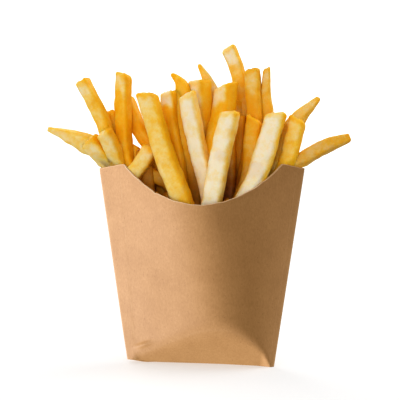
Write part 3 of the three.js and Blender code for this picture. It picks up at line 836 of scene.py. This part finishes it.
def fried_potato():
    """Potato fried in deep oil.

    The starch browns where it is hottest, at edges and ends, and the rest stays cream to gold, with
    a thin film of oil that gives a soft sheen. Light goes a few millimetres into the flesh. The tones
    that the fries carry also hold painted light and shade: faces turned from the light are set deeper
    gold, and fries deep in the heap are darkened.

    Patches of tone are 2 to 4 mm across, as on the real crust. Its grain of burst starch cells is
    0.1 to 0.2 mm, too fine to show, so it is drawn at 0.9 mm in tone and at 1.1 and 0.45 mm in relief.
    """
    material, tree = new_material("fried_potato")
    place = add_node(tree, "ShaderNodeTexCoord").outputs["Object"]
    # tone from deep gold to cream: partly the fry's own, partly painted light and shade
    pale = add_node(tree, "ShaderNodeAttribute", attribute_name="pale").outputs["Fac"]
    # darkening towards the crust colour: the real crust where it is crisp, and painted shade deep in the
    # heap
    browned = add_node(tree, "ShaderNodeAttribute", attribute_name="browned").outputs["Fac"]

    patch_noise = add_node(tree, "ShaderNodeTexNoise", {"Vector": place, "Scale": per_mm(3.2), **OCTAVES})
    patches = add_node(tree, "ShaderNodeMapRange", {
        "Value": patch_noise.outputs["Fac"], **NOISE_RANGE, "To Min": -0.13, "To Max": 0.13,
    }, interpolation_type="SMOOTHSTEP")
    grain_noise = add_node(tree, "ShaderNodeTexNoise", {"Vector": place, "Scale": per_mm(0.9), **OCTAVES})
    grain = add_node(tree, "ShaderNodeMapRange", {
        "Value": grain_noise.outputs["Fac"], **NOISE_RANGE, "To Min": -0.05, "To Max": 0.05,
    }, interpolation_type="SMOOTHSTEP")
    patched = add_node(tree, "ShaderNodeMath", {0: pale, 1: patches.outputs["Result"]}, operation="ADD")
    tone = add_node(tree, "ShaderNodeMath", {
        0: patched.outputs["Value"], 1: grain.outputs["Result"],
    }, operation="ADD")
    gold = add_node(tree, "ShaderNodeValToRGB", {"Fac": tone.outputs["Value"]}, stops=[
        (0.0, "#FABE14"), (0.25, "#FAC943"), (0.5, "#FAD77F"), (0.75, "#F9E1A8"), (1.0, "#FAEBCE"),
    ])

    # This dark colour serves both the crisp crust and the painted shade on fries deep in the heap.
    brown_noise = add_node(tree, "ShaderNodeTexNoise", {"Vector": place, "Scale": per_mm(2.0), **OCTAVES})
    brown = add_node(tree, "ShaderNodeValToRGB", {"Fac": brown_noise.outputs["Fac"]},
                     stops=[(0.3, "#7A3A0E"), (0.7, "#A8601C")])
    brown_and_shade_mix = add_node(tree, "ShaderNodeMath", {0: browned, 1: 0.9}, operation="MULTIPLY")
    crust = add_node(tree, "ShaderNodeMix", {
        0: brown_and_shade_mix.outputs["Value"], 6: gold.outputs["Color"], 7: brown.outputs["Color"],
    }, data_type="RGBA", blend_type="MIX")

    coarse = add_node(tree, "ShaderNodeTexNoise", {"Vector": place, "Scale": per_mm(1.1), **OCTAVES})
    fine = add_node(tree, "ShaderNodeTexNoise", {"Vector": place, "Scale": per_mm(0.45), **OCTAVES})
    faint = add_node(tree, "ShaderNodeMath", {0: fine.outputs["Fac"], 1: 0.4}, operation="MULTIPLY")
    relief = add_node(tree, "ShaderNodeMath", {
        0: coarse.outputs["Fac"], 1: faint.outputs["Value"],
    }, operation="ADD")
    rough_skin = add_node(tree, "ShaderNodeBump", {
        "Height": relief.outputs["Value"], "Strength": 0.35, "Distance": 0.25 * MM,
    })

    oil_noise = add_node(tree, "ShaderNodeTexNoise", {"Vector": place, "Scale": per_mm(4.0), **OCTAVES})
    oil = add_node(tree, "ShaderNodeMapRange", {
        "Value": oil_noise.outputs["Fac"], **NOISE_RANGE, "To Min": 0.42, "To Max": 0.6,
    }, interpolation_type="SMOOTHSTEP")
    shader = add_node(tree, "ShaderNodeBsdfPrincipled", {
        "Base Color": crust.outputs[2], "Roughness": oil.outputs["Result"],
        "Normal": rough_skin.outputs["Normal"], "IOR": 1.42, "Subsurface Weight": 0.4,
        "Subsurface Radius": (1.0, 0.75, 0.5), "Subsurface Scale": 2.5 * MM,
    })
    add_node(tree, "ShaderNodeOutputMaterial", {"Surface": shader.outputs["BSDF"]})
    return material


def kraft_board():
    """Uncoated kraft board, pressed from unbleached wood fibre.

    It is matt with a faint sheen from the pressing. Fibres and a few darker specks show in it, and
    folds and cut edges are paler, because there the fibres are broken open.

    Clouds in the pulp are 9 mm across and specks of bark 0.8 mm, as in the real board. A fibre is
    0.03 mm thick and 2 to 3 mm long, too fine to show, so it is drawn 0.7 mm thick and twice as long.
    """
    material, tree = new_material("kraft_board")
    place = add_node(tree, "ShaderNodeTexCoord").outputs["Object"]
    upright = add_node(tree, "ShaderNodeMapping", {"Vector": place, "Scale": (1.0, 1.0, 0.5)})
    cloud = add_node(tree, "ShaderNodeTexNoise", {
        "Vector": place, "Scale": per_mm(9.0), "Detail": 4.0, "Roughness": 0.55,
    })
    fibre = add_node(tree, "ShaderNodeTexNoise", {
        "Vector": upright.outputs["Vector"], "Scale": per_mm(0.7), **OCTAVES,
    })
    clouds = add_node(tree, "ShaderNodeMath", {0: cloud.outputs["Fac"], 1: 0.4}, operation="MULTIPLY")
    fibres = add_node(tree, "ShaderNodeMath", {0: fibre.outputs["Fac"], 1: 0.6}, operation="MULTIPLY")
    tone = add_node(tree, "ShaderNodeMath", {
        0: clouds.outputs["Value"], 1: fibres.outputs["Value"],
    }, operation="ADD")
    pulp = add_node(tree, "ShaderNodeValToRGB", {"Fac": tone.outputs["Value"]},
                    stops=[(0.3, "#A67B47"), (0.5, "#AE834E"), (0.7, "#B68B56")])

    speck_noise = add_node(tree, "ShaderNodeTexNoise", {
        "Vector": place, "Scale": per_mm(0.8), "Detail": 2.0, "Roughness": 0.55,
    })
    speck = add_node(tree, "ShaderNodeMapRange", {
        "Value": speck_noise.outputs["Fac"],
        "From Min": 0.64, "From Max": 0.73, "To Min": 0.0, "To Max": 0.45,
    }, interpolation_type="SMOOTHSTEP")
    specked = add_node(tree, "ShaderNodeMix", {
        0: speck.outputs["Result"], 6: pulp.outputs["Color"], 7: linear("#8C5F35"),
    }, data_type="RGBA", blend_type="MIX")

    fold = add_node(tree, "ShaderNodeAttribute", attribute_name="fold")
    rubbed = add_node(tree, "ShaderNodeMapRange", {
        "Value": fold.outputs["Fac"],
        "From Min": 0.1, "From Max": 1.0, "To Min": 0.0, "To Max": 0.3,
    }, interpolation_type="SMOOTHSTEP")
    worn = add_node(tree, "ShaderNodeMix", {
        0: rubbed.outputs["Result"], 6: specked.outputs[2], 7: linear("#E2BE92"),
    }, data_type="RGBA", blend_type="MIX")
    cut_edge = add_node(tree, "ShaderNodeAttribute", attribute_name="cut_edge")
    cut = add_node(tree, "ShaderNodeMix", {
        0: cut_edge.outputs["Fac"], 6: worn.outputs[2], 7: linear("#E9C9A0"),
    }, data_type="RGBA", blend_type="MIX")

    felt = add_node(tree, "ShaderNodeBump", {
        "Height": fibre.outputs["Fac"], "Strength": 0.25, "Distance": 0.08 * MM,
    })
    shader = add_node(tree, "ShaderNodeBsdfPrincipled", {
        "Base Color": cut.outputs[2], "Roughness": 0.66, "Normal": felt.outputs["Normal"], "IOR": 1.5,
    })
    add_node(tree, "ShaderNodeOutputMaterial", {"Surface": shader.outputs["BSDF"]})
    return material


def milky_acrylic():
    """Milky cast acrylic, lit from below as the top of a light table, so that it stays white."""
    material, tree = new_material("milky_acrylic")
    shader = add_node(tree, "ShaderNodeBsdfPrincipled", {
        "Base Color": linear("#BCBCBC"), "Roughness": 0.9,
        "Emission Color": linear("#FFFFFF"), "Emission Strength": 0.35,
    })
    add_node(tree, "ShaderNodeOutputMaterial", {"Surface": shader.outputs["BSDF"]})
    return material


# ------------ floor, light and camera

FLOOR_HALF = 40.0             # metres: it runs on to the horizon
CAMERA_TURN = math.radians(4.5)
CAMERA_DISTANCE = 0.450       # metres
CAMERA_HEIGHT = 0.094
VIEW_WIDTH = 400
HORIZON_ROW = 168.3           # where level things at the camera's height show, in a view of 400 rows
AXIS_COLUMN = 201.1           # where the middle of the mouth shows
PIXEL_AT_AXIS = 0.4854 * MM

SURROUND_LIGHT = 0.385

# Large far lamps: azimuth in degrees, 0 from the front and positive from the right; elevation;
# strength; how many degrees wide; what a flag lets it light alone; and its colour.
Lamp = namedtuple("Lamp", "name azimuth elevation strength spread only colour", defaults=[None, (1, 1, 1)])
LAMPS = [
    Lamp("low_light", -72, -20, 3.8, 38, "carton", (1.0, 1.09, 1.42)),
    Lamp("right_light", 100, -5, 0.75, 40, "carton"),
    Lamp("front_light", -10, 10, 0.6, 60, "fries"),
    Lamp("left_light", -60, -12, 0.3, 60, "fries"),
    Lamp("top_light", 0, 85, 0.35, 60),
    Lamp("back_light_right", 115, 35, 0.8, 50),
    Lamp("back_light_left", -140, 30, 0.8, 50),
]


def lay_floor(material):
    """A flat square under the carton. Light passes up through it, and none comes back from it."""
    mesh = bpy.data.meshes.new("floor")
    corners = [(-FLOOR_HALF, -FLOOR_HALF, 0), (FLOOR_HALF, -FLOOR_HALF, 0),
               (FLOOR_HALF, FLOOR_HALF, 0), (-FLOOR_HALF, FLOOR_HALF, 0)]
    mesh.from_pydata(corners, [], [(0, 1, 2, 3)])
    mesh.materials.append(material)
    floor = bpy.data.objects.new("floor", mesh)
    bpy.context.scene.collection.objects.link(floor)
    floor.visible_shadow = False
    floor.visible_diffuse = False
    floor.visible_glossy = False


def hang_lamp(lamp):
    """Adds a lamp that shines from (sin a cos e, -cos a cos e, sin e)."""
    light = bpy.data.lights.new(lamp.name, "SUN")
    light.energy = lamp.strength
    light.angle = math.radians(lamp.spread)
    light.color = lamp.colour
    hung = bpy.data.objects.new(lamp.name, light)
    a, e = math.radians(lamp.azimuth), math.radians(lamp.elevation)
    towards = Vector((math.sin(a) * math.cos(e), -math.cos(a) * math.cos(e), math.sin(e)))
    hung.rotation_euler = towards.to_track_quat("Z", "Y").to_euler()
    bpy.context.scene.collection.objects.link(hung)
    return hung


def light_studio(carton, fries):
    """An even white surround, soft lamps from above and behind, and four lamps with flags.

    Two of those, from low on the left and from the right, shape only the carton. The other two, from
    the front and the left, fill only the fries. The camera sees the surroundings white, while they
    light things less strongly.
    """
    flagged = {"carton": [carton], "fries": fries}
    lit_alone = {}
    for name, pieces in flagged.items():
        lit_alone[name] = bpy.data.collections.new("only_" + name)
        for piece in pieces:
            lit_alone[name].objects.link(piece)
    for lamp in LAMPS:
        hung = hang_lamp(lamp)
        if lamp.only:
            hung.light_linking.receiver_collection = lit_alone[lamp.only]

    world = bpy.data.worlds.new("studio")
    world.use_nodes = True
    tree = world.node_tree
    tree.nodes.clear()
    seen = add_node(tree, "ShaderNodeLightPath").outputs["Is Camera Ray"]
    strength = add_node(tree, "ShaderNodeMapRange", {"Value": seen, "To Min": SURROUND_LIGHT, "To Max": 1.0})
    surround = add_node(tree, "ShaderNodeBackground", {
        "Color": (1, 1, 1, 1), "Strength": strength.outputs["Result"],
    })
    add_node(tree, "ShaderNodeOutputWorld", {"Surface": surround.outputs["Background"]})
    bpy.context.scene.world = world


def set_camera():
    """A long lens a little right of the front, level with the ears of the carton."""
    data = bpy.data.cameras.new("camera")
    focal_pixels = CAMERA_DISTANCE / PIXEL_AT_AXIS
    data.lens = data.sensor_width * focal_pixels / VIEW_WIDTH
    camera = bpy.data.objects.new("camera", data)
    to_side = math.sin(CAMERA_TURN) * CAMERA_DISTANCE
    to_front = math.cos(CAMERA_TURN) * CAMERA_DISTANCE
    camera.location = (to_side, -to_front, CAMERA_HEIGHT)
    heading = CAMERA_TURN + math.atan2(AXIS_COLUMN - VIEW_WIDTH / 2, focal_pixels)
    pitch = math.atan2(VIEW_WIDTH / 2 - HORIZON_ROW, focal_pixels)
    camera.rotation_euler = (math.pi / 2 - pitch, 0, heading)
    bpy.context.scene.collection.objects.link(camera)
    bpy.context.scene.camera = camera
    bpy.context.scene.view_settings.view_transform = "Standard"
    bpy.context.scene.view_settings.look = "High Contrast"


# ------------ making it all

set_camera()
lay_floor(milky_acrylic())

board = kraft_board()
potato = fried_potato()
fillers = (filler_fries(BACK_FILLERS, BACK_FILLER_SHADE, np.random.default_rng(BACK_SEED))
           + filler_fries(LOW_FILLERS, LOW_FILLER_SHADE, np.random.default_rng(LOW_SEED)))
carton = carton_skin().piece("board_carton", board, "carton", "kraft_board")
groups = {
    "fries_core": core_skin(),
    "fries_left": fries_skin(FRIES_LEFT, 1),
    "fries_middle": fries_skin(FRIES_MIDDLE, 2),
    "fries_right": fries_skin(FRIES_RIGHT, 3),
    "fries_filling": fries_skin(fillers, 4),
}
fries = [skin.piece(name, potato, "fries", "fried_potato") for name, skin in groups.items()]
light_studio(carton, fries)
